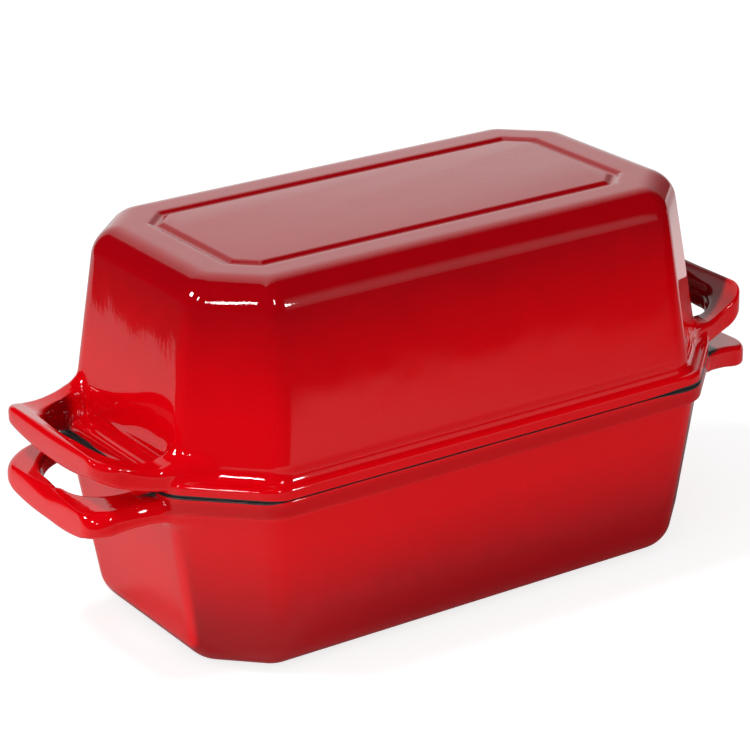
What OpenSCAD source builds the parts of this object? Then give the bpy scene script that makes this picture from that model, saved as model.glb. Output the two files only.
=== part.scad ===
// A lidded loaf pan in enamelled cast iron. Two pans meet rim to rim: the base
// pan below, and the lid, an upturned pan that rests on it. Each is one casting
// with a loop handle at both ends.
// X runs along the pan, Y across it, Z up, and the origin is under the middle
// of the base pan. All lengths are in millimetres and all angles in degrees.

/* [Body] */
// Length of the base pan over its end walls, at the rim
pan_length = 240.5; // [200:0.5:300]
// Width of both pans over their side walls, at the rim
pan_width = 133.5; // [110:0.5:160]
// Height of the base pan, from its foot to the seam
base_height = 73; // [60:1:90]
// Height of the lid, from the seam to its flat top
lid_height = 75; // [60:1:90]
// How far each end wall of the lid stands inside the base pan's
lid_end_step = 2.8; // [1:0.1:5]
// Leg of the cut across each upright corner, at the rim
corner_cut = 27.4; // [20:0.2:36]
// Radius along the edges of that cut
corner_radius = 12; // [8:0.5:16]
// Lean of the walls from upright
draft_angle = 8.5; // [5:0.5:11]

/* [Closed ends] */
// Radius round the foot of the base pan
foot_radius = 13.5; // [8:0.5:16]
// Radius round the top of the lid
crown_radius = 12; // [8:0.5:16]
// Distance from the end's sharp outline to the middle of the groove
groove_inset = 21.3; // [18:0.1:26]
// Width of the groove
groove_width = 6.4; // [4:0.2:8]
// Depth of the groove
groove_depth = 1.2; // [0.6:0.1:2]

/* [Castings] */
// Thickness of the walls
wall = 4.5; // [3.5:0.25:6]
// Thickness of the closed ends
end_thickness = 5; // [4:0.25:7]
// Radius inside, between walls and closed end
inside_radius = 9; // [5:0.5:12]

/* [Rims] */
// How far the rims stand out past the base pan's walls
rim_overhang = 1.75; // [1:0.25:4]
// Height of the base pan's rim band
base_rim_height = 7; // [5:0.5:10]
// Height of the lid's rim band
lid_rim_height = 4.8; // [4:0.2:7]
// Height of the hollow sweep from the lid's rim band up to its wall
ledge_height = 5.6; // [4:0.2:8]
// Radius on the outer edges of the rims, away from the seam
rim_edge_radius = 1.6; // [1:0.1:2]
// Radius on the rim edges that meet at the seam
seam_radius = 0.8; // [0.4:0.1:1.2]

/* [Handles seen from above] */
// How far the base pan's handles stand out from the rim
base_handle_reach = 27; // [20:0.2:40]
// How far the lid's handles stand out from the rim
lid_handle_reach = 23.4; // [20:0.2:40]
// Width of the base pan's handles over their legs
base_handle_width = 71; // [62:1:80]
// Width of the lid's handles over their legs
lid_handle_width = 74; // [66:1:84]
// Width of the base pan's finger holes
base_hole_width = 46; // [36:1:52]
// Width of the lid's finger holes
lid_hole_width = 54; // [40:1:60]
// Width of the bar across a handle
bar_width = 8.2; // [7:0.2:11]
// Outer corner radius of a handle
handle_corner = 9; // [6:0.5:14]
// Corner radius of the finger hole
hole_corner = 15; // [8:0.5:16]
// How far each leg flares out to one side at its root
leg_flare = 10; // [6:0.5:14]

/* [Handles seen from the side] */
// Distance from the seam down to the base pan's leg tops, at the rim
base_leg_gap = 2.4; // [1:0.2:4]
// Thickness of the base pan's legs, at the rim
base_leg_thickness = 8; // [6:0.2:10]
// Distance from the seam down to the top of the base pan's bars
base_bar_drop = 4.8; // [2:0.2:8]
// Thickness of the base pan's bars, at their ends
base_bar_thickness = 9; // [6:0.2:10]
// How far the base pan's legs run down its walls
base_web = 3; // [2:0.5:6]
// Distance from the seam up to the underside of the lid's legs, at the rim
lid_leg_gap = 1.5; // [0.5:0.1:3]
// Thickness of the lid's legs, at the rim
lid_leg_thickness = 8.6; // [6:0.2:10]
// Distance from the seam up to the outer top edge of the lid's bars
lid_bar_rise = 17.6; // [12:0.2:20]
// Thickness of the lid's bars, at their ends
lid_bar_thickness = 8.2; // [6:0.2:10]
// How far the lid's legs climb its walls
lid_web = 4.5; // [4:0.5:10]
// How far out from the walls the legs begin to climb or run down
web_reach = 11; // [8:0.5:16]
// How much deeper the bars are at their middle than at their ends
bar_belly = 3.2; // [0:0.2:4]
// How the handles curve on their way out: 1 is a straight rise, more is a late one
sweep_power = 1.5; // [1:0.1:2.5]
// Radius on the handles' edges
handle_edge = 2.4; // [1.5:0.1:3]

/* [Hidden] */

enamel = "#c4000c";
// Steps round each upright edge, round each profile fillet and round a handle edge
edge_steps = 5;
fillet_steps = 6;
lip_steps = 3;
// Steps along a handle's leg and round its corner
leg_steps = 7;
bend_steps = 6;
// How much further in the outer side of a leg starts than its hole side
root_slant = 6.5;
// Distance from the middle at which the climb up the wall has faded out, and
// the distance over which it fades
web_end = 48;
web_fade = 12;

// An outline is [half length, half width, corner cut, corner radius].
// Moving an octagon's eight sides in by d shortens its corner cuts by this share of d.
cut_share = 2 - sqrt(2);
function inset(o, d, r) = [o[0] - d, o[1] - d, o[2] - cut_share * d, r];
function blend(o, p, t) = o * (1 - t) + p * t;

base_wall = [pan_length / 2, pan_width / 2, corner_cut, corner_radius];
lid_wall = [base_wall[0] - lid_end_step, base_wall[1], corner_cut, corner_radius];
rim_line = inset(base_wall, -rim_overhang, corner_radius + 2);

// One ring of points round an outline, at height z
function side_reach(o, i) =
    i % 2 == 1 ? (o[0] + o[1] - o[2]) / sqrt(2) : i % 4 == 0 ? o[0] : o[1];
function edge_centre(o, i) =
    let (a = 45 * i, p = side_reach(o, i) - o[3], q = side_reach(o, i + 1) - o[3])
    [p * sin(a + 45) - q * sin(a), q * cos(a) - p * cos(a + 45)] / sin(45);
function ring(o, z) = [
    for (i = [0 : 7], j = [0 : edge_steps])
        let (c = edge_centre(o, i), a = 45 * (i + j / edge_steps))
        [c.x + o[3] * cos(a), c.y + o[3] * sin(a), z]
];

// A solid skinned over rings of equal length, with a flat face at each end
module skin(rings) {
    n = len(rings[0]);
    last = (len(rings) - 1) * n;
    polyhedron(
        points = [for (r = rings) each r],
        faces = concat(
            [[for (j = [0 : n - 1]) j]],
            [for (i = [0 : len(rings) - 2], j = [0 : n - 1])
                let (a = i * n + j, b = i * n + (j + 1) % n)
                each [[a, a + n, b + n], [a, b + n, b]]],
            [[for (j = [n - 1 : -1 : 0]) last + j]]
        ),
        convexity = 6
    );
}

// Profile points of a pan stood on its closed end, as [outline, height].
// lean is how far a wall comes in for each millimetre of depth.
lean = tan(draft_angle);
function wall_at(w, h, z, thickness = 0) = inset(w, (h - z) * lean + thickness, w[3]);

// The corner radius shrinks as the profile turns in under the closed end
function tight(w, d) = max(w[3] - 0.75 * d, 2.5);

function closed_end(w, h, r) =
    let (foot = wall_at(w, h, 0), c = r * lean - r / cos(draft_angle))
    concat(
        [for (s = [-2 : 2])
            let (d = groove_inset - s * groove_width / 4,
                 z = groove_depth * [0, 0.55, 1][2 - abs(s)])
            [inset(foot, d, tight(w, d)), z]],
        [for (k = [0 : fillet_steps])
            let (a = -90 + (90 - draft_angle) * k / fillet_steps,
                 d = -c - r * cos(a))
            [inset(foot, d, tight(w, max(d, 0))), r + r * sin(a)]]
    );

// Rounded outer edge: a quarter turn of radius r about the outline, from side to face
function quarter(o, z, r, from, to) = [
    for (k = [0 : lip_steps])
        let (a = from + (to - from) * k / lip_steps)
        [inset(o, r - r * cos(a), o[3]), z + r * sin(a)]
];

// Rim of the base pan: a short hollow sweep under the band, then the band itself
function base_rim(w, h) =
    let (z = h - base_rim_height)
    concat(
        [[wall_at(w, h, z - rim_overhang), z - rim_overhang],
         [inset(wall_at(w, h, z - 0.3 * rim_overhang), -0.22 * rim_overhang, w[3]),
          z - 0.3 * rim_overhang]],
        quarter(rim_line, z + rim_edge_radius, rim_edge_radius, -65, 0),
        quarter(rim_line, h - seam_radius, seam_radius, 0, 90)
    );

// Rim of the lid: a quarter ellipse sweeps out from the wall to the ledge, then the band
function lid_rim(w, h) =
    let (z = h - lid_rim_height,
         ledge = inset(rim_line, rim_edge_radius, rim_line[3]),
         side = wall_at(w, h, z - ledge_height))
    concat(
        [for (k = [0 : fillet_steps - 1])
            let (a = 90 * k / fillet_steps)
            [blend(side, ledge, 1 - cos(a)), z - ledge_height * (1 - sin(a))]],
        quarter(rim_line, z + rim_edge_radius, rim_edge_radius, -90, 0),
        quarter(rim_line, h - seam_radius, seam_radius, 0, 90)
    );

// Inside of a pan, from the rim's inner edge down to the middle of its floor
function inside(w, h) =
    let (r = inside_radius, mouth = wall_at(w, h, h, wall),
         floor_line = wall_at(w, h, end_thickness, wall),
         c = r * lean - r / cos(draft_angle))
    concat(
        [[inset(mouth, -seam_radius, w[3]), h],
         [inset(mouth, -0.3 * seam_radius, w[3]), h - 0.3 * seam_radius],
         [wall_at(w, h, h - seam_radius, wall), h - seam_radius]],
        [for (k = [fillet_steps : -1 : 0])
            let (a = -90 + (90 - draft_angle) * k / fillet_steps,
                 d = -c - r * cos(a))
            [inset(floor_line, d, tight(w, max(d, 0))), end_thickness + r + r * sin(a)]]
    );

module shell(profile) {
    skin([for (p = profile) ring(p[0], p[1])]);
}

// A loop handle on the +X end. Each section is a rounded bar between the edge of
// the finger hole and the handle's outer edge. A plan is [root x, outer x, width,
// hole width]; sides are [lower at rim, lower at bar, upper at rim, upper at bar,
// lower web, upper web].
function leg_x(s, root, to) = root + (to - root) * s;
function outer_edge(s, plan) =
    let (c = handle_corner, half = plan[2] / 2)
    s < 1 ? [leg_x(s, plan[0] - root_slant, plan[1] - c), half + leg_flare * pow(1 - s, 1.5)]
    : s < 2 ? [plan[1] - c + c * sin(90 * (s - 1)), half - c + c * cos(90 * (s - 1))]
    : [plan[1], (half - c) * (3 - s)];
function hole_edge(s, plan) =
    let (c = hole_corner, half = plan[3] / 2, x = plan[1] - bar_width)
    s < 1 ? [leg_x(s, plan[0], x - c), half]
    : s < 2 ? [x - c + c * sin(90 * (s - 1)), half - c + c * cos(90 * (s - 1))]
    : [x, (half - c) * (3 - s)];

function stations() = concat(
    [for (k = [0 : leg_steps - 1]) k / leg_steps],
    [for (k = [0 : bend_steps]) 1 + k / bend_steps],
    [2.5, 3]
);

// How far a point seen from above lies outside the walls, a little above their rim
function outside(p) = let (o = inset(lid_wall, 2, 0))
    max(p.x - o[0], (p.x + abs(p.y) - o[0] - o[1] + o[2]) / sqrt(2));

// Heights of a handle's lower and upper faces at a point seen from above
function face_heights(p, plan, sides) =
    let (out = min(max((p.x - rim_line[0]) / (plan[1] - rim_line[0]), 0), 1),
         t = pow(out, sweep_power),
         belly = bar_belly * t * max(1 - pow(p.y / (plan[2] / 2 - handle_corner), 2), 0),
         web = pow(max(1 - outside(p) / web_reach, 0), 2)
             * min(max((web_end - abs(p.y)) / web_fade, 0), 1))
    [sides[0] + (sides[1] - sides[0]) * t - belly + sides[4] * web,
     sides[2] + (sides[3] - sides[2]) * t + sides[5] * web];

// One section, as a ring of points from the hole side to the outer side
function bar_section(a, b, plan, sides) =
    let (width = norm(b - a), along = (b - a) / width, r = handle_edge)
    [for (q = [0 : 3], j = [0 : lip_steps])
        let (t = 90 * (q + j / lip_steps),
             v = (q == 0 || q == 3 ? width - r : r) + r * cos(t),
             p = a + along * v,
             z = face_heights(p, plan, sides))
        [p.x, p.y, r * sin(t) + (q < 2 ? z[1] - r : z[0] + r)]];

module handle(plan, sides) {
    half = stations();
    near = [for (s = half)
        bar_section(hole_edge(s, plan), outer_edge(s, plan), plan, sides)];
    far = [for (k = [len(half) - 2 : -1 : 0]) [for (p = near[k]) [p.x, -p.y, p.z]]];
    skin(concat(near, far));
}

module both_ends() {
    for (turn = [0, 180])
        rotate([0, 0, turn]) children();
}

module base_pan() {
    h = base_height;
    w = base_wall;
    leg_top = h - base_leg_gap;
    bar_top = h - base_bar_drop;
    color(enamel) union() {
        shell(concat(closed_end(w, h, foot_radius), base_rim(w, h), inside(w, h)));
        both_ends()
            handle([w[0] - wall + 1, rim_line[0] + base_handle_reach,
                    base_handle_width, base_hole_width],
                [leg_top - base_leg_thickness, bar_top - base_bar_thickness,
                 leg_top, bar_top, -base_web, 0]);
    }
}

module lid() {
    h = lid_height;
    w = lid_wall;
    color(enamel) translate([0, 0, base_height]) {
        translate([0, 0, h]) mirror([0, 0, 1])
            shell(concat(closed_end(w, h, crown_radius), lid_rim(w, h), inside(w, h)));
        both_ends()
            handle([w[0] - wall + 0.3, rim_line[0] + lid_handle_reach,
                    lid_handle_width, lid_hole_width],
                [lid_leg_gap, lid_bar_rise - lid_bar_thickness,
                 lid_leg_gap + lid_leg_thickness, lid_bar_rise, 0, lid_web]);
    }
}

base_pan();
lid();
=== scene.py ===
"""Looks of the enamelled loaf pan: both castings skinned finely from the part's own forms, with
their handles blended in, a procedural enamel, and a plain white studio."""

import math
from dataclasses import dataclass

import bpy
import numpy as np
from mathutils import Matrix, Vector
from mathutils.bvhtree import BVHTree


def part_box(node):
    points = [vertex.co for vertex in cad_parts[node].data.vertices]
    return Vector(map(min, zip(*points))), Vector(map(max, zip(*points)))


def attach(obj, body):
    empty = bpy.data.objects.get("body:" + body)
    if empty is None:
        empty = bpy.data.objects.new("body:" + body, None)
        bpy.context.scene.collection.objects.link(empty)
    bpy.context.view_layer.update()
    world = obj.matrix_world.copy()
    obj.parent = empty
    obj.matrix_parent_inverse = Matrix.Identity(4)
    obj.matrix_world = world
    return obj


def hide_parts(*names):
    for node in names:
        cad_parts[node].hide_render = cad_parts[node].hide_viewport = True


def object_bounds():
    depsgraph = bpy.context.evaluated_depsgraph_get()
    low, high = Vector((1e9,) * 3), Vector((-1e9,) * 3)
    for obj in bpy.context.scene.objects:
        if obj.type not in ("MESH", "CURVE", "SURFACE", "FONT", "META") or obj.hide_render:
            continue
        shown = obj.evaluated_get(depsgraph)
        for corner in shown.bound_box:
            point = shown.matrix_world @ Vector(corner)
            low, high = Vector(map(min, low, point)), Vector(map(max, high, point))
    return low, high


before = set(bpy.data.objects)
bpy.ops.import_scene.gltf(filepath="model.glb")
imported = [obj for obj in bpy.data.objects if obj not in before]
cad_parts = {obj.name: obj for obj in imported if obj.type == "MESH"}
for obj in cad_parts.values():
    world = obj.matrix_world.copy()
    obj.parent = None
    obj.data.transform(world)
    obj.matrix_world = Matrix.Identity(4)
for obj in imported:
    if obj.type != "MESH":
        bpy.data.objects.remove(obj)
cad_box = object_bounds()
MM = 0.001


def in_mm(metres):
    """A length from the frame, to a hundredth of a millimetre."""
    return round(metres / MM, 2)


# The part's own sizes, in mm: how far the rims and the base pan's longer handle stand out, and
# from those and the frame the heights, width and length of the pans' bodies
OVERHANG, BASE_REACH = 1.75, 27.0
BASE_H = in_mm(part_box("base_pan")[1][2])
LID_H = in_mm(cad_box[1][2]) - BASE_H
WIDTH = in_mm(cad_box[1][1] - cad_box[0][1]) - 2 * OVERHANG
LENGTH = in_mm(cad_box[1][0] - cad_box[0][0]) - 2 * (BASE_REACH + OVERHANG)
# Walls: the lid's step at each end, the upright corner cuts and their radius, and the lean
LID_END_STEP, CORNER_CUT, CORNER_RADIUS, DRAFT = 2.8, 27.4, 12.0, math.radians(8.5)
LEAN = math.tan(DRAFT)
CUT_SHARE = 2 - math.sqrt(2)
# Closed ends
FOOT_RADIUS, CROWN_RADIUS = 13.5, 12.0
GROOVE_INSET, GROOVE_WIDTH, GROOVE_DEPTH = 21.3, 6.4, 1.2
# Corner radii shrink with distance inside the wall, down to the least one
TIGHTENING, LEAST_RADIUS = 0.75, 2.5
# Castings
WALL, END_THICKNESS, INSIDE_RADIUS = 4.5, 5.0, 9.0
# Rims
BASE_RIM, LID_RIM, LEDGE = 7.0, 4.8, 5.6
RIM_RADIUS, SEAM_RADIUS, RIM_CORNER = 1.6, 0.8, 14.0


def inset(outline, distance, radius):
    """An outline moved inwards. It holds half length, half width, corner cut and corner radius."""
    length, width, cut = outline[:3]
    return np.array([length - distance, width - distance, cut - CUT_SHARE * distance, radius])


BASE_WALL = np.array([LENGTH / 2, WIDTH / 2, CORNER_CUT, CORNER_RADIUS])
LID_WALL = np.array([LENGTH / 2 - LID_END_STEP, WIDTH / 2, CORNER_CUT, CORNER_RADIUS])
RIM_LINE = inset(BASE_WALL, -OVERHANG, RIM_CORNER)

# Steps of the fine skin: round each corner, and along the end walls, cuts and long walls
CORNER_STEPS = 12
END_STEPS, CUT_STEPS, LONG_STEPS = 60, 18, 24
FLAT_STEPS = (END_STEPS, CUT_STEPS, LONG_STEPS, CUT_STEPS)
# Steps between rings: over the closed end, and over both rims
GROOVE_STEPS, END_FACE_STEPS, EDGE_STEPS, INSIDE_STEPS = 16, 5, 18, 10
RIM_STEPS, SEAM_STEPS, SWEEP_STEPS, LEDGE_STEPS = 8, 6, 4, 14


# Rings round an outline
def side_reach(outline, side):
    """Distance from the middle to one of the eight sides, counted round from the +X end."""
    if side % 2:
        return (outline[0] + outline[1] - outline[2]) / math.sqrt(2)
    return outline[0] if side % 4 == 0 else outline[1]


def ring(outline, height):
    """Points of one rounded outline, the same count for each outline."""
    radius = outline[3]
    corners = []
    for side in range(8):
        start = math.radians(45 * side)
        end = start + math.pi / 4
        near = side_reach(outline, side) - radius
        far = side_reach(outline, side + 1) - radius
        centre = np.array([near * math.sin(end) - far * math.sin(start),
                           far * math.cos(start) - near * math.cos(end)]) / math.sin(math.pi / 4)
        angles = start + np.linspace(0, math.pi / 4, CORNER_STEPS + 1)
        corners.append(centre + radius * np.stack([np.cos(angles), np.sin(angles)], 1))
    points = []
    for side, corner in enumerate(corners):
        following = corners[(side + 1) % 8]
        share = np.linspace(0, 1, FLAT_STEPS[(side + 1) % 4] + 1)[1:-1, None]
        points.append(corner)
        points.append(corner[-1] * (1 - share) + following[0] * share)
    points = np.concatenate(points)
    return np.c_[points, np.full(len(points), height)]


def wall_at(wall, top, height, inward=0.0):
    """Outline of a wall at a height, where top is the height of the open rim."""
    return inset(wall, (top - height) * LEAN + inward, wall[3])


def tightened(wall, distance):
    return max(wall[3] - TIGHTENING * distance, LEAST_RADIUS)


def edge_inset(radius):
    """How far inside the sharp corner of wall and closed end the centre of its rounding lies."""
    return radius / math.cos(DRAFT) - radius * LEAN


def edge_rows(line, wall, radius, base, start, end, steps):
    """Rings round the edge between a leaning wall and a closed end."""
    rows = []
    for angle in np.linspace(start, end, steps + 1):
        inward = edge_inset(radius) - radius * math.cos(angle)
        outline = inset(line, inward, tightened(wall, max(inward, 0)))
        rows.append((outline, base + radius + radius * math.sin(angle)))
    return rows


def closed_end(wall, top, radius):
    """Rings from the middle of a closed end, over the groove and round the outer edge."""
    foot = wall_at(wall, top, 0)
    rows = []
    for quarters in np.linspace(-2, 2, GROOVE_STEPS + 1):
        inward = GROOVE_INSET - quarters * GROOVE_WIDTH / 4
        depth = GROOVE_DEPTH * 0.5 * (1 + math.cos(math.pi * quarters / 2))
        rows.append((inset(foot, inward, tightened(wall, inward)), depth))
    flat = np.linspace(GROOVE_INSET - GROOVE_WIDTH / 2, edge_inset(radius), END_FACE_STEPS + 1)
    for inward in flat[1:-1]:
        rows.append((inset(foot, inward, tightened(wall, inward)), 0.0))
    return rows + edge_rows(foot, wall, radius, 0.0, -math.pi / 2, -DRAFT, EDGE_STEPS)


def rounded(outline, height, radius, start, end, steps):
    """Rings round a small edge, from one angle in degrees to another."""
    angles = np.radians(np.linspace(start, end, steps + 1))
    return [(inset(outline, radius - radius * math.cos(angle), outline[3]),
             height + radius * math.sin(angle)) for angle in angles]


# Distances between rings up the wall: far from the handles, beside them, and the least one
FAR_ROW, NEAR_ROW, LEAST_ROW = 3.5, 1.0, 0.3
HANDLE_ZONE = 22


def wall_rows(wall, top, low, high):
    """Rings up the bare wall, closer together where the handles meet it."""
    heights = [low]
    while heights[-1] < high:
        heights.append(heights[-1] + (FAR_ROW if heights[-1] < high - HANDLE_ZONE else NEAR_ROW))
    return [(wall_at(wall, top, height), height) for height in heights[1:] if height < high - LEAST_ROW]


# The hollow sweep under the base pan's band: its height and depth as shares of the overhang
SWEEP_HEIGHT, SWEEP_DEPTH, SWEEP_POWER = 0.9, 0.5, 2.2
# Angle under the band at which its rounding starts
BAND_START = -65


def base_rim():
    """Rings over the base pan's rim: the hollow sweep, then the band."""
    band = BASE_H - BASE_RIM
    rows = []
    for step in range(SWEEP_STEPS + 1):
        share = step / SWEEP_STEPS
        height = band - OVERHANG + SWEEP_HEIGHT * OVERHANG * share
        line = wall_at(BASE_WALL, BASE_H, height)
        rows.append((inset(line, -SWEEP_DEPTH * OVERHANG * share ** SWEEP_POWER, BASE_WALL[3]), height))
    rows += rounded(RIM_LINE, band + RIM_RADIUS, RIM_RADIUS, BAND_START, 0, RIM_STEPS)
    return rows + rounded(RIM_LINE, BASE_H - SEAM_RADIUS, SEAM_RADIUS, 0, 90, SEAM_STEPS)


def lid_rim():
    """Rings over the lid's rim, as it stands before it is turned over: the ledge, then the band."""
    band = LID_H - LID_RIM
    ledge = inset(RIM_LINE, RIM_RADIUS, RIM_LINE[3])
    side = wall_at(LID_WALL, LID_H, band - LEDGE)
    rows = []
    for step in range(LEDGE_STEPS):
        angle = math.pi / 2 * step / LEDGE_STEPS
        share = 1 - math.cos(angle)
        rows.append((side * (1 - share) + ledge * share, band - LEDGE * (1 - math.sin(angle))))
    rows += rounded(RIM_LINE, band + RIM_RADIUS, RIM_RADIUS, -90, 0, RIM_STEPS)
    return rows + rounded(RIM_LINE, LID_H - SEAM_RADIUS, SEAM_RADIUS, 0, 90, SEAM_STEPS)


# The inner wall: its rings, and how far they keep from the mouth and from the inner edge
INNER_ROWS, MOUTH_GAP, INNER_EDGE_GAP = 6, 6, 4
# Middle of the mouth's small bevel, as a share of the seam radius
BEVEL_SHARE = 0.3


def inside(wall, top):
    """Rings from the rim down the inner wall to the inner face of the closed end."""
    mouth, floor_line = wall_at(wall, top, top, WALL), wall_at(wall, top, END_THICKNESS, WALL)
    bevel = BEVEL_SHARE * SEAM_RADIUS
    rows = [(inset(mouth, -SEAM_RADIUS, wall[3]), top), (inset(mouth, -bevel, wall[3]), top - bevel),
            (wall_at(wall, top, top - SEAM_RADIUS, WALL), top - SEAM_RADIUS)]
    edge = END_THICKNESS + INSIDE_RADIUS
    for height in np.linspace(top - MOUTH_GAP, edge + INNER_EDGE_GAP, INNER_ROWS):
        rows.append((wall_at(wall, top, height, WALL), height))
    return rows + edge_rows(floor_line, wall, INSIDE_RADIUS, END_THICKNESS,
                            -DRAFT, -math.pi / 2, INSIDE_STEPS)


def skin(rings):
    """Points and faces of a solid skinned over rings, with a flat face at each end."""
    count = len(rings[0])
    faces = [list(range(count - 1, -1, -1))]
    for start in range(0, (len(rings) - 1) * count, count):
        for place in range(count):
            following = (place + 1) % count
            faces.append([start + place, start + following,
                          start + count + following, start + count + place])
    faces.append(list(range((len(rings) - 1) * count, len(rings) * count)))
    return np.concatenate(rings), faces


# The loop handles: stations along each leg, bend and half bar, and points round their section
LEG_STEPS, BEND_STEPS, BAR_STEPS = 30, 22, 22
ACROSS_STEPS, ROUND_STEPS = 10, 7
# How far each leg widens at its root, and how far its outer side starts behind the hole's side
FLARE, SLANT, FLARE_POWER = 10.0, 6.5, 1.5
# The underside's sag at the middle of the bar, how both faces curve from leg to bar, and the
# rounding under the bar
BELLY, FALL_POWER, LIP = 3.2, 1.5, 2.4
# The webs at the roots: the reach under the handle, where they end and fade across the pan, and
# how far inside the lid's wall they start
WEB_REACH, WEB_END, WEB_FADE, WEB_START = 11.0, 48.0, 12.0, 2
# How the uneven lifts of both faces grow along the reach
LIFT_POWER, UNDER_LIFT_POWER = 0.75, 0.3


@dataclass
class Loop:
    """One handle, in mm, as it stands on the +X end before it is turned.

    A pair holds the value on the -Y side and on the +Y side of the finished pan: each end of the
    real casting is slightly uneven.
    """
    root: float
    reach: float
    half: tuple
    hole: tuple
    bar: float
    # heights above the base plane of the underside and the upper face, at the leg and at the bar
    under: tuple
    upper: tuple
    # rounding across and down of the edges: outer top and inner top
    outer_edge: tuple
    inner_edge: tuple
    hole_flare: float = 0.0
    under_web: float = 0.0
    web: tuple = (0.0, 0.0)
    web_reach: tuple = (11.0, 11.0)
    web_power: tuple = (2.0, 2.0)
    lift: tuple = (0.0, 0.0)
    under_lift: tuple = (0.0, 0.0)
    corner: tuple = (9.0, 9.0)
    hole_corner: tuple = (15.0, 15.0)
    turned: bool = False

    @property
    def tip(self):
        return RIM_LINE[0] + self.reach

    def on(self, pair, side):
        """The value of a pair on one side of the handle as it stands on the +X end."""
        return pair[1 if (side > 0) != self.turned else 0]

    def across(self, pair, y):
        """The value of a pair at width y, changing evenly from one side to the other."""
        y = -y if self.turned else y
        share = np.clip(0.5 + y / sum(self.half), 0, 1)
        return pair[0] * (1 - share) + pair[1] * share


def loop_line(place, start, far, half, flare, corner):
    """A point of half a loop: place 0 to 1 is the leg, 1 to 2 the bend, 2 to 3 half the bar."""
    if place < 1:
        return np.array([start + (far - corner - start) * place, half + flare * (1 - place) ** FLARE_POWER])
    if place < 2:
        angle = math.pi / 2 * (place - 1)
        return np.array([far - corner + corner * math.sin(angle), half - corner + corner * math.cos(angle)])
    return np.array([far, (half - corner) * (3 - place)])


def outer_edge(place, loop, side):
    return loop_line(place, loop.root - SLANT, loop.tip, loop.on(loop.half, side), FLARE,
                     loop.on(loop.corner, side))


def hole_edge(place, loop, side):
    return loop_line(place, loop.root, loop.tip - loop.bar, loop.on(loop.hole, side), loop.hole_flare,
                     loop.on(loop.hole_corner, side))


def past_wall(x, y):
    """Distance outwards from the line on which the webs start, just inside the lid's wall."""
    line = inset(LID_WALL, WEB_START, 0)
    return np.maximum(x - line[0], (x + np.abs(y) - line[0] - line[1] + line[2]) / math.sqrt(2))


def face_heights(x, y, loop):
    """Heights of a handle's underside and upper face above the points x, y."""
    out = np.clip((x - RIM_LINE[0]) / (loop.tip - RIM_LINE[0]), 0, 1)
    fall = out ** FALL_POWER
    belly = BELLY * fall * np.maximum(1 - (y / (sum(loop.half) / 2 - loop.corner[0])) ** 2, 0)
    fade = np.clip((WEB_END - np.abs(y)) / WEB_FADE, 0, 1)
    under_web = fade * np.maximum(1 - past_wall(x, y) / WEB_REACH, 0) ** 2
    near_wall = np.clip(1 - past_wall(x, y) / loop.across(loop.web_reach, y), 0, 1)
    web = fade * loop.across(loop.web, y) * near_wall ** loop.across(loop.web_power, y)
    lift, under_lift = loop.across(loop.lift, y), loop.across(loop.under_lift, y)
    low = loop.under[0] + (loop.under[1] - loop.under[0]) * fall - belly
    low = low + loop.under_web * under_web + under_lift * out ** UNDER_LIFT_POWER
    high = loop.upper[0] + (loop.upper[1] - loop.upper[0]) * fall + web + lift * out ** LIFT_POWER
    return low, high


def bar_section(hole_point, outer_point, loop):
    """Ring round the bar between a point on the hole and one on the outer line."""
    width = np.linalg.norm(outer_point - hole_point)
    along = (outer_point - hole_point) / width
    (outer_x, outer_z), (inner_x, inner_z) = loop.outer_edge, loop.inner_edge
    angle = np.radians(np.linspace(0, 90, ROUND_STEPS + 1))
    top = np.linspace(width - outer_x, inner_x, ACROSS_STEPS + 1)[1:-1]
    bottom = np.linspace(LIP, width - LIP, ACROSS_STEPS + 1)[1:-1]
    across = np.concatenate([width - outer_x + outer_x * np.cos(angle), top,
                             inner_x - inner_x * np.sin(angle),
                             LIP - LIP * np.cos(angle), bottom, width - LIP + LIP * np.sin(angle)])
    rise = np.concatenate([outer_z * np.sin(angle) - outer_z, 0 * top,
                           inner_z * np.cos(angle) - inner_z,
                           LIP - LIP * np.sin(angle), 0 * bottom, LIP - LIP * np.cos(angle)])
    points = hole_point + across[:, None] * along
    low, high = face_heights(points[:, 0], points[:, 1], loop)
    upper_half = np.arange(len(across)) < len(across) // 2
    return np.c_[points, np.where(upper_half, high, low) + rise]


def handle(loop):
    """Points and faces of one handle, from the root of one leg round to the other."""
    legs = np.linspace(0, 1, LEG_STEPS + 1)[:-1]
    bends = np.linspace(1, 2, BEND_STEPS + 1)
    bars = np.linspace(2, 3, BAR_STEPS + 1)[1:]
    places = [*legs, *bends, *bars]
    rings = []
    for side, half in ((1, places), (-1, places[-2::-1])):
        flip = np.array([1, side])
        for place in half:
            hole_point = hole_edge(place, loop, side) * flip
            outer_point = outer_edge(place, loop, side) * flip
            rings.append(bar_section(hole_point, outer_point, loop))
    if loop.turned:
        rings = [points * np.array([-1, -1, 1]) for points in rings]
    return skin(rings)


# One casting: shell, handles, blends
def to_mesh(name, points, faces):
    mesh = bpy.data.meshes.new(name)
    mesh.from_pydata([tuple(point) for point in points], [], faces)
    mesh.update()
    return mesh


def to_object(name, mesh):
    obj = bpy.data.objects.new(name, mesh)
    bpy.context.scene.collection.objects.link(obj)
    return obj


def fuse(target, others):
    """Joins the other solids to the target and removes them."""
    for other in others:
        join = target.modifiers.new("join", "BOOLEAN")
        join.operation, join.solver, join.object = "UNION", "EXACT", other
    graph = bpy.context.evaluated_depsgraph_get()
    joined = bpy.data.meshes.new_from_object(target.evaluated_get(graph))
    target.modifiers.clear()
    used = [target.data] + [other.data for other in others]
    target.data = joined
    for other in others:
        bpy.data.objects.remove(other)
    for mesh in used:
        bpy.data.meshes.remove(mesh)


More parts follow.
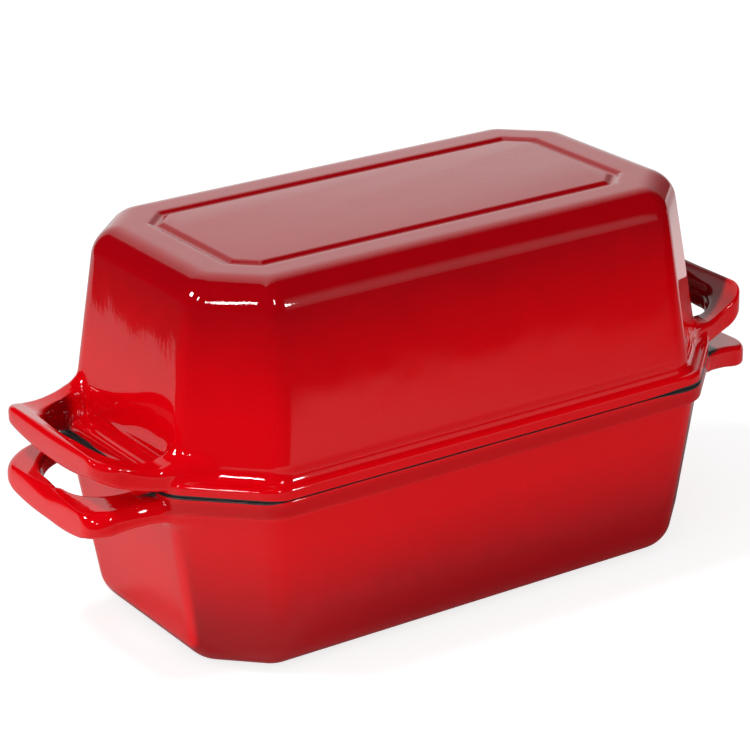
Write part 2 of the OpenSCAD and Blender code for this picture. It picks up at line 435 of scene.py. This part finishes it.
# Closer to a surface than this, in mm, its own normal is used
ON_SURFACE = 0.15
SMALLEST_AREA, SMALLEST_LENGTH = 1e-12, 1e-9


class Field:
    """Signed distance to a fine mesh, with a smooth normal: below zero inside."""

    def __init__(self, points, faces):
        mesh = to_mesh("field", points, faces)
        mesh.calc_loop_triangles()
        triangles = [tuple(triangle.vertices) for triangle in mesh.loop_triangles]
        self.tree = BVHTree.FromPolygons([tuple(point) for point in points], triangles)
        self.triangles = np.array(triangles)
        self.points = np.asarray(points)
        self.normals = np.array([vertex.normal for vertex in mesh.vertices])
        bpy.data.meshes.remove(mesh)

    def smooth_normal(self, index, hit):
        """The normal at a hit on one triangle, blended from those of its corners."""
        corners = self.triangles[index]
        first, second, third = self.points[corners]
        one, two, to_hit = second - first, third - first, hit - first
        one_one, one_two, two_two = one @ one, one @ two, two @ two
        hit_one, hit_two = to_hit @ one, to_hit @ two
        area = max(one_one * two_two - one_two * one_two, SMALLEST_AREA)
        share_two = (two_two * hit_one - one_two * hit_two) / area
        share_three = (one_one * hit_two - one_two * hit_one) / area
        normals = self.normals[corners]
        normal = normals[0] * (1 - share_two - share_three) + normals[1] * share_two
        normal = normal + normals[2] * share_three
        return normal / max(np.linalg.norm(normal), SMALLEST_LENGTH)

    def at(self, points):
        """Distances and unit normals at the points."""
        distances, normals = np.zeros(len(points)), np.zeros((len(points), 3))
        for i, point in enumerate(points):
            hit, _, index, distance = self.tree.find_nearest(Vector(point))
            hit = np.array(hit)
            normal = self.smooth_normal(index, hit)
            off = point - hit
            sign = 1.0 if off @ normal >= 0 else -1.0
            distances[i] = sign * distance
            normals[i] = sign * off / distance if distance > ON_SURFACE else normal
        return distances, normals


# The blend at the handles' roots, in mm: its size on the wall and beside the seam, the height over
# which it grows, where it can start along the pan, and how deep a point may be buried
BLEND_FAR, BLEND_NEAR, BLEND_RISE, BLEND_FROM, BURIED = 4.0, 0.8, 11.0, 95, 0.3
# Moves towards the blended surface, and the least slope that a move allows for
MOVES, LEAST_SLOPE = 3, 0.15
# Points this close to the seam stay on their own side of it
RIM_ZONE = 3


def blend(points, ends, shell, loops, seam):
    """Blended distances and their slopes, from those to the shell and to the loop at each end."""
    to_shell, shell_normals = shell.at(points)
    to_loop, loop_normals = np.zeros(len(points)), np.zeros((len(points), 3))
    for end, loop in zip((True, False), loops):
        to_loop[ends == end], loop_normals[ends == end] = loop.at(points[ends == end])
    rise = np.clip(np.abs(points[:, 2] - seam) / BLEND_RISE, 0, 1)
    size = BLEND_NEAR + (BLEND_FAR - BLEND_NEAR) * rise * rise * (3 - 2 * rise)
    share = np.clip(0.5 + 0.5 * (to_loop - to_shell) / size, 0, 1)
    distances = to_loop * (1 - share) + to_shell * share - size * share * (1 - share)
    return distances, shell_normals * share[:, None] + loop_normals * (1 - share)[:, None]


def melt(obj, shell, loops, seam, upturned):
    """Fills the hollows between shell and handles with a smooth blend, wide on the wall side and
    narrow beside the seam. Gives the points that it moved and their normals."""
    mesh = obj.data
    points = np.zeros(len(mesh.vertices) * 3)
    mesh.vertices.foreach_get("co", points)
    points = points.reshape(-1, 3)
    chosen = np.nonzero(np.abs(points[:, 0]) > BLEND_FROM)[0]
    chosen = chosen[shell.at(points[chosen])[0] > -BURIED]
    ends = points[chosen, 0] > 0
    to_loop = np.zeros(len(chosen))
    for end, loop in zip((True, False), loops):
        to_loop[ends == end] = loop.at(points[chosen[ends == end]])[0]
    chosen = chosen[(to_loop < BLEND_FAR) & (to_loop > -BURIED)]
    ends = points[chosen, 0] > 0
    for _ in range(MOVES):
        distances, slopes = blend(points[chosen], ends, shell, loops, seam)
        steepness = np.maximum((slopes * slopes).sum(1), LEAST_SLOPE)
        points[chosen] -= (distances / steepness)[:, None] * slopes
    _, slopes = blend(points[chosen], ends, shell, loops, seam)
    # both rims stay flat where they meet
    heights = points[chosen, 2]
    kept = np.maximum(heights, seam) if upturned else np.minimum(heights, seam)
    points[chosen, 2] = np.where(np.abs(heights - seam) < RIM_ZONE, kept, heights)
    mesh.vertices.foreach_set("co", points.ravel())
    mesh.update()
    return chosen, slopes / np.linalg.norm(slopes, axis=1)[:, None]


def casting(name, node, outer_rows, inner_rows, handles, upturned=False):
    """One finished piece in its place, which replaces its node. The lid is turned over."""
    def skinned(rows):
        rings = [ring(outline, height) for outline, height in rows]
        if upturned:
            for points in rings:
                points[:, 2] = BASE_H + LID_H - points[:, 2]
                points[:, 1] *= -1
        return skin(rings)

    loops = [handle(loop) for loop in handles]
    obj = to_object(name, to_mesh(name, *skinned(outer_rows + inner_rows)))
    fuse(obj, [to_object(name + "_loop", to_mesh(name + "_loop", *loop)) for loop in loops])
    shell = Field(*skinned(outer_rows))
    moved, normals = melt(obj, shell, [Field(*loop) for loop in loops], BASE_H, upturned)
    mesh = obj.data
    mesh.transform(Matrix.Scale(MM, 4))
    mesh.polygons.foreach_set("use_smooth", [True] * len(mesh.polygons))
    mesh.update()
    own = np.array([vertex.normal for vertex in mesh.vertices])
    own[moved] = normals
    mesh.normals_split_custom_set_from_vertices([tuple(normal) for normal in own])
    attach(obj, "root")
    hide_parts(node)
    return obj


def outer_profile(wall, top, edge_radius, wall_top, rim):
    return closed_end(wall, top, edge_radius) + wall_rows(wall, top, edge_radius, wall_top) + rim


# Handles of the base pan: depths of the upper face below the seam, and thicknesses, at leg and bar
BASE_DROPS, BASE_DEPTHS = (2.4, 4.8), (8, 9)
# Handles of the lid: heights above the seam of the underside and the upper face, at the leg
LID_UNDER, LID_UPPER = 1.5, 10.1
# How far out from the wall's inner face, at the rim, the hole side of each handle starts
BASE_ROOT, LID_ROOT = 1, 0.3


def base_loop(**own):
    leg_top, bar_top = BASE_H - BASE_DROPS[0], BASE_H - BASE_DROPS[1]
    return Loop(root=BASE_WALL[0] - WALL + BASE_ROOT,
                under=(leg_top - BASE_DEPTHS[0], bar_top - BASE_DEPTHS[1]),
                upper=(leg_top, bar_top), inner_edge=(2.6, 3.0), under_web=-3, **own)


def lid_loop(rise, thick, **own):
    return Loop(root=LID_WALL[0] - WALL + LID_ROOT, half=(37, 37),
                under=(BASE_H + LID_UNDER, BASE_H + rise - thick),
                upper=(BASE_H + LID_UPPER, BASE_H + rise), inner_edge=(3.4, 4.6),
                web_reach=(11, 24), web_power=(2, 1.3), **own)


base = casting("base_pan_enamel", "base_pan",
               outer_profile(BASE_WALL, BASE_H, FOOT_RADIUS, BASE_H - BASE_RIM - OVERHANG, base_rim()),
               inside(BASE_WALL, BASE_H),
               [base_loop(reach=26, half=(35.5, 37), hole=(23, 27), bar=7.4, outer_edge=(2.0, 2.2),
                          lift=(-1.8, -0.8), under_lift=(-1.8, -0.8)),
                base_loop(reach=BASE_REACH, half=(35.5, 38), hole=(22.4, 31), bar=5.6,
                          outer_edge=(4.2, 5.2), corner=(9, 12), hole_corner=(20, 24), turned=True)])
lid = casting("lid_enamel_shell", "lid",
              outer_profile(LID_WALL, LID_H, CROWN_RADIUS, LID_H - LID_RIM - LEDGE, lid_rim()),
              inside(LID_WALL, LID_H),
              [lid_loop(rise=19.8, thick=11, reach=22.0, hole=(30, 29), bar=7.6, hole_flare=3,
                        web=(2.6, 10.4), outer_edge=(1.7, 1.9), lift=(0.2, 1.8), under_lift=(0, 6),
                        hole_corner=(16, 24)),
               lid_loop(rise=17.6, thick=8.4, reach=24.4, hole=(31, 29), bar=8.2, hole_flare=2,
                        web=(3.2, 8.4), outer_edge=(3.0, 3.4), hole_corner=(21, 15), turned=True)],
              upturned=True)


# Node graphs
class Graph:
    """Short calls that add nodes to the tree of a material or a world."""

    def __init__(self, owner):
        owner.use_nodes = True
        self.tree = owner.node_tree

    def node(self, kind, **values):
        """A new node, with its inputs given by name (spaces as underscores)."""
        node = self.tree.nodes.new("ShaderNode" + kind)
        for name, value in values.items():
            self.feed(node.inputs[name.replace("_", " ")], value)
        return node

    def feed(self, socket, value):
        if isinstance(value, bpy.types.NodeSocket):
            self.tree.links.new(value, socket)
        else:
            socket.default_value = value

    def math(self, operation, *values):
        node = self.node("Math")
        node.operation = operation
        for socket, value in zip(node.inputs, values):
            self.feed(socket, value)
        return node.outputs[0]

    def product(self, *values):
        total = values[0]
        for value in values[1:]:
            total = self.math("MULTIPLY", total, value)
        return total

    def sum(self, *values):
        total = values[0]
        for value in values[1:]:
            total = self.math("ADD", total, value)
        return total

    def distance(self, x, y, from_x, from_y):
        x, y = self.math("SUBTRACT", x, from_x), self.math("SUBTRACT", y, from_y)
        return self.math("SQRT", self.sum(self.product(x, x), self.product(y, y)))

    def rise(self, value, low, high):
        """0 to 1 along a smooth step from low to high, or falling where low is the higher."""
        node = self.node("MapRange", Value=value, From_Min=low, From_Max=high)
        node.interpolation_type = "SMOOTHSTEP"
        return node.outputs["Result"]

    def noise(self, place, size, detail):
        """Noise from 0 to 1 whose grains are about size metres across."""
        return self.node("TexNoise", Vector=place, Scale=1 / size, Detail=detail).outputs["Fac"]

    def ramp(self, factor, stops):
        node = self.node("ValToRGB", Fac=factor)
        marks = node.color_ramp.elements
        while len(marks) < len(stops):
            marks.new(0.5)
        for mark, (place, colour) in zip(marks, stops):
            mark.position, mark.color = place, (*colour, 1)
        return node.outputs["Color"]

    def mix(self, factor, start, end):
        node = self.node("Mix")
        node.data_type = "RGBA"
        for name, value in (("Factor_Float", factor), ("A_Color", start), ("B_Color", end)):
            socket = next(s for s in node.inputs if s.identifier == name)
            self.feed(socket, value if isinstance(value, (float, bpy.types.NodeSocket)) else (*value, 1))
        return next(s for s in node.outputs if s.identifier == "Result_Color")

    def scaled(self, colour, factor):
        node = self.node("VectorMath")
        node.operation = "SCALE"
        self.feed(node.inputs["Vector"], colour)
        self.feed(node.inputs["Scale"], factor)
        return node.outputs["Vector"]

    def bump(self, height, depth, strength, under=None):
        node = self.node("Bump", Height=height, Distance=depth, Strength=strength)
        if under:
            self.feed(node.inputs["Normal"], under)
        return node.outputs["Normal"]

    def joined(self, kind, *parts):
        """A shader node fed in the order of its inputs."""
        node = self.node(kind)
        for socket, part in zip(node.inputs, parts):
            self.feed(socket, part)
        return node.outputs[0]


# Materials: lengths and places are in metres, each range is where a smooth step starts and ends
SEAM = BASE_H * MM
BLACK = (0.018, 0.017, 0.018)
# Red enamel by distance from the seam: bright beside it, deeper towards both closed ends
SHADES = [(0.00, (0.62, 0.0003, 0.0034)), (0.35, (0.62, 0.0002, 0.0034)),
          (0.62, (0.49, 0.0002, 0.0032)), (0.85, (0.34, 0.0002, 0.0030)), (1.00, (0.295, 0.0002, 0.0030))]
# The specks' deep red, and the darker red of the thin spray and painted shade on the handles
DEEP_RED, SHADED_RED = (0.20, 0.0004, 0.0012), (0.07, 0.0004, 0.0012)
# Painted shade: below the seam the red deepens sooner; painted light: on the end walls it hardly does
LOWER_SHADE_DEPTH, LOWER_FROM = 0.25, (SEAM, 0.070)
END_LIGHT_SHARE, END_FACING, END_BELOW = 0.85, (0.8, 0.97), (SEAM, 0.06)
MOTTLE_SIZE, MOTTLE_DEPTH = 0.012, 0.16
# How much brighter painted light makes the left end, the end walls below the seam and the lid's flat top,
# and how much darker the base pan's rim band is
LEFT_LIGHT_GAIN, LEFT_FACING = 0.08, (-0.85, -0.97)
FOOT_END_LIGHT_GAIN = 0.15
TOP_LIGHT_GAIN, TOP_FACING, TOP_ABOVE = 0.14, (0.9, 0.99), (0.140, 0.1455)
BAND_GAIN, BAND_DEPTH, BAND_REACH = -0.26, (0.0072, 0.0062), (0.1235, 0.1215)
SPECK_SIZE, SPECK_LEVEL, SPECK_SHARE = 0.0011, (0.66, 0.74), 0.16
# Thin spray and painted shade in the finger holes, on the sides of the legs that face the front
LEG_FROM, LEG_FACING, LEG_ACROSS, LEG_SHARE = (0.119, 0.124), (-0.2, -0.7), (0.012, 0.022), 0.85
# Painted shadow of the lid's wall on the upper side of the lid's right handle, within a circle seen from
# above
RIGHT_SHADOW_FROM, RIGHT_SHADOW_ABOVE, RIGHT_SHADOW_SHARE = (0.119, 0.122), (0.0775, 0.0795), 0.90
RIGHT_SHADOW_CENTRE, RIGHT_SHADOW_RADIUS = (0.105, 0.020), (0.0598, 0.0572)
# The black line on each side of the seam: its height in the middle, further left and further right, where
# it is widened by painted shade of a small gap under the lid
SEAM_MIDDLE, SEAM_LEFT, SEAM_RIGHT = 0.00025, 0.0008, 0.0011
LEFT_FROM, RIGHT_FROM = (-0.088, -0.098), (0.068, 0.090)
SEAM_WANDER, WANDER_SIZE, SEAM_BLUR = 0.0003, 0.006, (0.00018, -0.00012)
# Black beside the handles' roots, partly bare black iron and partly painted shade in the gap between the
# legs: where it starts and stops outwards and upwards, the slanting line past which it lies, and how far
# back or front it has to be
ROOT_REACH = ((0.1185, 0.1205), (0.131, 0.1285))
ROOT_HEIGHT = ((0.0685, 0.0698), (0.0748, 0.0742))
ROOT_SLANT, ROOT_PAST = (0.655, 0.756), (-0.1062, -0.1045)
ROOT_BACK, ROOT_FRONT = (0.010, 0.016), (-0.0275, -0.030)
# Gloss, and how much duller the black is, on the bare iron and on the painted shade at the roots
ROUGH, ROUGH_WANDER, ROUGH_SIZE, BLACK_ROUGH = 0.02, 0.035, 0.018, 0.3
# Long waves, and the fine peel drawn out downwards, as the enamel ran before it set
WAVE_SIZE, WAVE_DEPTH, WAVE_STRENGTH = 0.022, 0.0004, 0.35
PEEL_SIZE, PEEL_DEPTH, PEEL_DRAWN = 0.0016, 0.00006, (1, 1, 0.35)
PEEL_WALLS, PEEL_TOP, PEEL_LEFT = 0.09, 0.45, 0.15
PEEL_TOP_FACING, PEEL_LEFT_FACING = (0.8, 0.97), (-0.8, -0.97)
RED_IOR, BLACK_IOR = 1.54, 1.5
# The black enamel inside: matt, with grey flecks
GRAIN_SIZE, GRAIN_DEPTH, GRAIN_STRENGTH = 0.0009, 0.0001, 0.6
FLECK, FLECK_SIZE, FLECK_LEVEL, FLECK_SHARE = (0.07, 0.068, 0.066), 0.0016, (0.66, 0.76), 0.5
MATT, MATT_WANDER, MATT_SIZE = 0.34, 0.16, 0.012


class Spot:
    """Where a point of the enamel lies and which way it faces, as sockets of one graph."""

    def __init__(self, g):
        coords = g.node("TexCoord").outputs
        self.place = coords["Object"]
        self.along, self.across, self.height = g.node("SeparateXYZ", Vector=self.place).outputs
        facing = g.node("SeparateXYZ", Vector=coords["Normal"]).outputs
        self.facing_end, self.facing_side, self.facing_up = facing
        self.out = g.math("ABSOLUTE", self.along)
        self.away = g.math("ABSOLUTE", g.math("SUBTRACT", self.height, SEAM))


def wander(g, spot, size, detail):
    """Noise about zero."""
    return g.math("SUBTRACT", g.noise(spot.place, size, detail), 0.5)


def shaded_red(g, spot):
    """The red by height, facing and distance from the seam, with painted light and shade, and darker
    specks.
    """
    # Painted shade deepens the red below the seam, and painted light keeps the end walls below it bright
    below = g.rise(spot.height, *LOWER_FROM)
    end = g.product(g.rise(g.math("ABSOLUTE", spot.facing_end), *END_FACING),
                    g.rise(spot.height, *END_BELOW))
    depth = g.product(spot.away, 1 / (LID_H * MM), g.sum(1.0, g.product(below, LOWER_SHADE_DEPTH)))
    depth = g.product(depth, g.math("SUBTRACT", 1.0, g.product(end, END_LIGHT_SHARE)))
    depth = g.sum(depth, g.product(wander(g, spot, MOTTLE_SIZE, 4.0), MOTTLE_DEPTH))
    # Painted light: the left end, the end walls below the seam and the lid's flat top get a brighter red
    left = g.rise(spot.facing_end, *LEFT_FACING)
    top = g.product(g.rise(spot.facing_up, *TOP_FACING), g.rise(spot.height, *TOP_ABOVE))
    band = g.product(below, g.rise(spot.away, *BAND_DEPTH), g.rise(spot.out, *BAND_REACH))
    gain = g.sum(1.0, g.product(left, LEFT_LIGHT_GAIN), g.product(end, FOOT_END_LIGHT_GAIN),
                 g.product(top, TOP_LIGHT_GAIN), g.product(band, BAND_GAIN))
    specks = g.product(g.rise(g.noise(spot.place, SPECK_SIZE, 1.0), *SPECK_LEVEL), SPECK_SHARE)
    return g.mix(specks, g.scaled(g.ramp(depth, SHADES), gain), DEEP_RED)


def thin_spray_and_painted_shade(g, spot):
    """How far the red darkens on the handles: thin spray and painted shade in the finger holes, and a
    painted shadow on the lid's right handle.
    """
    hole_sides_spray_and_shade = g.product(g.rise(spot.out, *LEG_FROM), g.rise(spot.facing_side, *LEG_FACING),
                         g.rise(spot.across, *LEG_ACROSS), LEG_SHARE)
    # Painted shadow of the lid's wall on the right handle
    from_centre = g.distance(spot.along, spot.across, *RIGHT_SHADOW_CENTRE)
    right_loop_shadow = g.product(g.rise(spot.along, *RIGHT_SHADOW_FROM), g.rise(spot.height, *RIGHT_SHADOW_ABOVE),
                           g.rise(from_centre, *RIGHT_SHADOW_RADIUS), RIGHT_SHADOW_SHARE)
    return g.math("MAXIMUM", hole_sides_spray_and_shade, right_loop_shadow)


def black_iron_and_painted_shade(g, spot):
    """The black seam line, widened on the right by painted shade of a gap, and the roots' black, partly
    bare iron and partly painted shade.
    """
    edge = g.sum(SEAM_MIDDLE, g.product(g.rise(spot.along, *LEFT_FROM), SEAM_LEFT - SEAM_MIDDLE),
                 g.product(g.rise(spot.along, *RIGHT_FROM), SEAM_RIGHT - SEAM_MIDDLE),
                 g.product(wander(g, spot, WANDER_SIZE, 2.0), SEAM_WANDER))
    seam = g.rise(g.math("SUBTRACT", spot.away, edge), *SEAM_BLUR)
    outwards = [g.rise(spot.out, *step) for step in ROOT_REACH]
    upwards = [g.rise(spot.height, *step) for step in ROOT_HEIGHT]
    slant = g.sum(g.product(spot.along, ROOT_SLANT[0]), g.product(spot.across, ROOT_SLANT[1]))
    sides = g.math("MAXIMUM", g.rise(spot.across, *ROOT_BACK), g.rise(spot.across, *ROOT_FRONT))
    return g.math("MAXIMUM", seam, g.product(*outwards, *upwards, g.rise(slant, *ROOT_PAST), sides))


def enamel_surface(g, spot):
    """The normal over waves and peel. The peel is stronger on level tops and on the left end."""
    waves = g.bump(g.noise(spot.place, WAVE_SIZE, 1.0), WAVE_DEPTH, WAVE_STRENGTH)
    drawn = g.node("Mapping", Vector=spot.place, Scale=PEEL_DRAWN).outputs[0]
    peel = g.sum(PEEL_WALLS, g.product(g.rise(spot.facing_up, *PEEL_TOP_FACING), PEEL_TOP),
                 g.product(g.rise(spot.facing_end, *PEEL_LEFT_FACING), PEEL_LEFT))
    return g.bump(g.noise(drawn, PEEL_SIZE, 2.0), PEEL_DEPTH, peel, waves)


def red_enamel(g, spot):
    """Colour, roughness and normal of the sprayed outside."""
    # bare holds the black seam line and the black at the roots, partly painted shade
    bare = black_iron_and_painted_shade(g, spot)
    # The handles' thin spray and painted shade darken the red
    red = g.mix(thin_spray_and_painted_shade(g, spot), shaded_red(g, spot), SHADED_RED)
    rough = g.sum(ROUGH, g.product(g.noise(spot.place, ROUGH_SIZE, 3.0), ROUGH_WANDER))
    return g.mix(bare, red, BLACK), g.sum(rough, g.product(bare, BLACK_ROUGH)), enamel_surface(g, spot)


def black_enamel(g, spot):
    """Colour, roughness and normal of the inside."""
    flecks = g.product(g.rise(g.noise(spot.place, FLECK_SIZE, 1.0), *FLECK_LEVEL), FLECK_SHARE)
    rough = g.sum(MATT, g.product(g.noise(spot.place, MATT_SIZE, 3.0), MATT_WANDER))
    grain = g.bump(g.noise(spot.place, GRAIN_SIZE, 3.0), GRAIN_DEPTH, GRAIN_STRENGTH)
    return g.mix(flecks, BLACK, FLECK), rough, grain


def enamel(name, looks, ior):
    """A material from a function that gives its colour, roughness and normal."""
    mat = bpy.data.materials.new(name)
    g = Graph(mat)
    surface = g.tree.nodes["Principled BSDF"].inputs
    for socket, value in zip(("Base Color", "Roughness", "Normal"), looks(g, Spot(g))):
        g.feed(surface[socket], value)
    surface["IOR"].default_value = ior
    return mat


# How far short of the nominal walls and closed ends a face may lie and still be an inner one, in mm
WALL_SLACK, END_SLACK = 0.7, 0.5


def inner_faces(mesh):
    """True for each face of the bare inside, well behind the outer wall and off the closed ends."""
    centres = np.zeros(len(mesh.polygons) * 3)
    mesh.polygons.foreach_get("center", centres)
    x, y, z = np.abs(centres.reshape(-1, 3).T) / MM
    in_lid = z > BASE_H
    from_end = np.where(in_lid, BASE_H + LID_H - z, z)
    sink = LEAN * (np.where(in_lid, LID_H, BASE_H) - from_end)
    length, width = BASE_WALL[0] - LID_END_STEP * in_lid - sink, BASE_WALL[1] - sink
    side_gap = np.minimum(length - x, width - y)
    cut_gap = (length + width - CORNER_CUT + CUT_SHARE * sink - x - y) / math.sqrt(2)
    return (np.minimum(side_gap, cut_gap) > WALL - WALL_SLACK) & (from_end > END_THICKNESS - END_SLACK)


red, black = enamel("red_enamel", red_enamel, RED_IOR), enamel("black_enamel", black_enamel, BLACK_IOR)
for obj in (base, lid):
    obj.data.materials.clear()
    obj.data.materials.append(red)
    obj.data.materials.append(black)
    obj.data.polygons.foreach_set("material_index", inner_faces(obj.data).astype(np.int32))

# Table and surroundings, in metres. Only the gloss sees the table, whose greys are painted light and shade:
# it ends at its left and front edges, is dark beyond them, and darkens towards the right
FLOOR_SIZE = 6.0
TABLE_LEFT, TABLE_FRONT, TABLE_RIGHT, TABLE_LEVEL = (-0.424, -0.416), (-0.86, -0.70), (0.75, 0.2), 0.52
# The light comes from behind, so the table in front of the pan is shaded
SHADE_AT, SHADE_REACH, SHADE_DEPTH = (0.05, -0.12), (0.55, 0.08), 0.62
# Painted light: the table is brighter beside the pan's left end, and far behind the pan
SIDE_AT, SIDE_REACH, SIDE_LEVEL = (-0.2, 0.08), (0.3, 0.08), 0.25
BACK_RISE, BACK_LEVEL = (0.45, 0.9), 0.45
# Past this line on the right, and from the middle towards the back, the floor glows
BEYOND_RIGHT, BEYOND_BACK, BEYOND_LEVEL = (0.383, 0.389), (0.0, 0.06), 0.65
# Greys of the floor: what the camera sees, as paint and as glow, past the table, and for dull light
SEEN_GREY, SEEN_GLOW, DARK_GREY, BOUNCE_GREY = 0.34, 0.78, 0.05, 0.85


def studio_floor():
    ends = (-FLOOR_SIZE, FLOOR_SIZE)
    corners = [(ends[0], ends[0], 0), (ends[1], ends[0], 0), (ends[1], ends[1], 0), (ends[0], ends[1], 0)]
    mesh = to_mesh("floor", corners, [[0, 1, 2, 3]])
    floor = to_object("floor", mesh)
    mat = bpy.data.materials.new("studio_floor")
    g = Graph(mat)
    g.tree.nodes.remove(g.tree.nodes["Principled BSDF"])
    x, y, _ = g.node("SeparateXYZ", Vector=g.node("TexCoord").outputs["Object"]).outputs

    def dull(grey):
        return g.node("BsdfDiffuse", Color=(grey, grey, grey, 1)).outputs[0]

    def glow(strength):
        return g.node("Emission", Strength=strength).outputs[0]

    table = g.product(g.rise(x, *TABLE_LEFT), g.rise(y, *TABLE_FRONT))
    shade = g.rise(g.distance(x, y, *SHADE_AT), *SHADE_REACH)
    # Painted light on the table beside the pan's left end and far behind it
    beside = g.rise(g.distance(x, y, *SIDE_AT), *SIDE_REACH)
    level = g.product(TABLE_LEVEL, g.math("SUBTRACT", 1.0, g.product(shade, SHADE_DEPTH)),
                      g.rise(x, *TABLE_RIGHT))
    level = g.sum(level, g.product(g.rise(y, *BACK_RISE), BACK_LEVEL), g.product(beside, SIDE_LEVEL))
    grey = g.node("CombineColor", Red=level, Green=level, Blue=level).outputs["Color"]
    shaded = g.node("BsdfDiffuse", Color=grey).outputs[0]
    beyond = g.product(g.rise(x, *BEYOND_RIGHT), g.rise(y, *BEYOND_BACK), BEYOND_LEVEL)
    mirrored = g.joined("AddShader", g.joined("MixShader", table, dull(DARK_GREY), shaded), glow(beyond))
    seen = g.joined("AddShader", dull(SEEN_GREY), glow(SEEN_GLOW))
    rays = g.node("LightPath").outputs
    either = g.joined("MixShader", rays["Is Glossy Ray"], seen, mirrored)
    whole = g.joined("MixShader", rays["Is Diffuse Ray"], either, dull(BOUNCE_GREY))
    g.feed(g.tree.nodes["Material Output"].inputs["Surface"], whole)
    mesh.materials.append(mat)


# What the gloss mirrors, in degrees. A panel has two smooth steps in azimuth, two in elevation, and
# its brightness
PANELS = [((18, 62), (97, 94), (-10, -2), (120, 110), 0.5),
          ((18, 62), (105, 50), (-10, -2), (120, 110), 0.66),
          ((-66, -61), (-48, -53), (-9, 9), (36, 16), 0.5)]
# A small lamp has its azimuth and elevation, its half width and half height, and its brightness
LAMPS = [(-150.1, 27, 0.35, 7, 60), (-150.7, 26, 0.3, 3, 40), (158, 34, 6, 5, 60),
         (-62.5, 14, 1.3, 4.5, 50), (-170, 33, 3, 5, 30), (-96, 36, 2, 8, 30)]
# Where a lamp's edge fades, as shares of its half size, and the level between lamps and panels
LAMP_EDGE, DARK_LEVEL = (1.2, 0.8), 0.01
# Soft light on dull surfaces: its level in the middle, and how it changes along x and y
AMBIENT, AMBIENT_ALONG, AMBIENT_ACROSS = 0.66, -0.62, -0.44


def surroundings():
    """A white background for the camera, panels and lamps for the gloss, soft light for the rest."""
    world = bpy.data.worlds.new("studio")
    bpy.context.scene.world = world
    g = Graph(world)
    x, y, z = g.node("SeparateXYZ", Vector=g.node("TexCoord").outputs["Generated"]).outputs
    azimuth = g.math("ARCTAN2", y, x)
    elevation = g.math("ARCSINE", z)
    lit = DARK_LEVEL
    for west, east, low, high, level in PANELS:
        steps = [g.rise(angle, *np.radians(ends).tolist())
                 for angle, ends in ((azimuth, west), (azimuth, east), (elevation, low), (elevation, high))]
        lit = g.sum(lit, g.product(level, *steps))
    for lamp_azimuth, lamp_elevation, wide, tall, level in LAMPS:
        sideways = g.product(azimuth, 1 / math.radians(wide))
        upwards = g.product(elevation, 1 / math.radians(tall))
        off = g.distance(sideways, upwards, lamp_azimuth / wide, lamp_elevation / tall)
        lit = g.sum(lit, g.product(g.rise(off, *LAMP_EDGE), level))
    rays = g.node("LightPath").outputs
    soft = g.sum(AMBIENT, g.product(x, AMBIENT_ALONG), g.product(y, AMBIENT_ACROSS))
    dull = g.math("SUBTRACT", 1.0, g.math("MAXIMUM", rays["Is Glossy Ray"], rays["Is Camera Ray"]))
    total = g.sum(rays["Is Camera Ray"], g.product(rays["Is Glossy Ray"], lit), g.product(dull, soft))
    background = g.tree.nodes["Background"].inputs
    g.feed(background["Strength"], total)
    background["Color"].default_value = (1, 1, 1, 1)


# The one real lamp: its direction in degrees, then power, distance and size in metres
KEY_AZIMUTH, KEY_ELEVATION, KEY_POWER, KEY_DISTANCE, KEY_SIZE = 172, 64, 7.5, 1.6, 0.18


def key_lamp():
    azimuth, elevation = math.radians(KEY_AZIMUTH), math.radians(KEY_ELEVATION)
    lamp = bpy.data.lights.new("key_lamp", "AREA")
    lamp.shape, lamp.size, lamp.energy = "DISK", KEY_SIZE, KEY_POWER
    level = math.cos(elevation)
    way = Vector((math.cos(azimuth) * level, math.sin(azimuth) * level, math.sin(elevation)))
    obj = to_object("key_lamp", lamp)
    obj.location = way * KEY_DISTANCE
    obj.rotation_euler = way.to_track_quat("Z", "Y").to_euler()
    obj.visible_glossy = False


# The photograph's camera, fitted to picked points of the object: angles in degrees, lengths in mm,
# the focal length in pixels of the photograph
AZIMUTH, ELEVATION, ROLL = -33.618, 21.884, -1.026
DISTANCE, AIM_RIGHT, AIM_UP, AIM_HEIGHT = 1123.382, -6.593, 4.252, 72.682
FOCAL_PIXELS, PHOTO_PIXELS, SENSOR = 2961.269, 750, 36.0
CLIP = (0.05, 50)


def photo_camera():
    azimuth, elevation, roll = (math.radians(angle) for angle in (AZIMUTH, ELEVATION, ROLL))
    back = np.array([math.sin(azimuth) * math.cos(elevation), -math.cos(azimuth) * math.cos(elevation),
                     math.sin(elevation)])
    right = np.array([math.cos(azimuth), math.sin(azimuth), 0.0])
    up = np.cross(back, right)
    middle = np.array([0, 0, AIM_HEIGHT])
    eye = middle + back * DISTANCE
    target = middle + right * AIM_RIGHT + up * AIM_UP
    z_axis = (eye - target) / np.linalg.norm(eye - target)
    x_axis = np.cross([0, 0, 1.0], z_axis)
    x_axis /= np.linalg.norm(x_axis)
    y_axis = np.cross(z_axis, x_axis)
    cosine, sine = math.cos(roll), math.sin(roll)
    x_axis, y_axis = cosine * x_axis + sine * y_axis, -sine * x_axis + cosine * y_axis
    camera = bpy.data.cameras.new("photo_camera")
    camera.sensor_fit, camera.sensor_width = "HORIZONTAL", SENSOR
    camera.lens = FOCAL_PIXELS * SENSOR / PHOTO_PIXELS
    camera.clip_start, camera.clip_end = CLIP
    obj = to_object("photo_camera", camera)
    columns = (x_axis, y_axis, z_axis, eye * MM)
    obj.matrix_world = Matrix([[column[i] for column in columns] for i in range(3)] + [[0, 0, 0, 1]])
    bpy.context.scene.camera = obj


studio_floor()
surroundings()
key_lamp()
photo_camera()
bpy.context.scene.view_settings.view_transform = "Standard"
